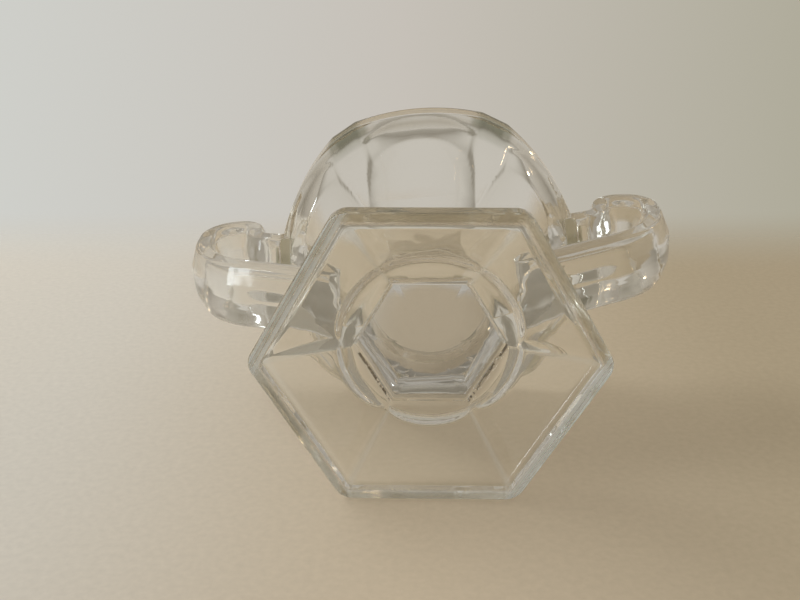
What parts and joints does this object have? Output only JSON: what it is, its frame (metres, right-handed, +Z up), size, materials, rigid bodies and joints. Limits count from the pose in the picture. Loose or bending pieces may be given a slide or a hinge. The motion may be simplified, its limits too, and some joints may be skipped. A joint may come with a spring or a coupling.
{
  "type": "salt cellar",
  "caption": "Open salt cellar of clear pressed glass with a panelled bowl, a scroll handle on each side, and a hollow hexagonal foot.",
  "frame": {"origin": "centre of the foot's base plane", "axes": "+Z up from the foot to the rim; +X through the right handle, with the handles on both ends of X; +Y completes the right-handed frame"},
  "size_m": [0.0804, 0.0486, 0.0498],
  "materials": {
    "clear_glass": "clear pressed glass, fire-polished and slightly wavy, with a worn ground rim under the foot"
  },
  "bodies": {
    "root": {"foot": "clear_glass", "stem": "clear_glass", "bowl": "clear_glass", "rim": "clear_glass", "handle_right": "clear_glass", "handle_left": "clear_glass"}
  },
  "joints": []
}
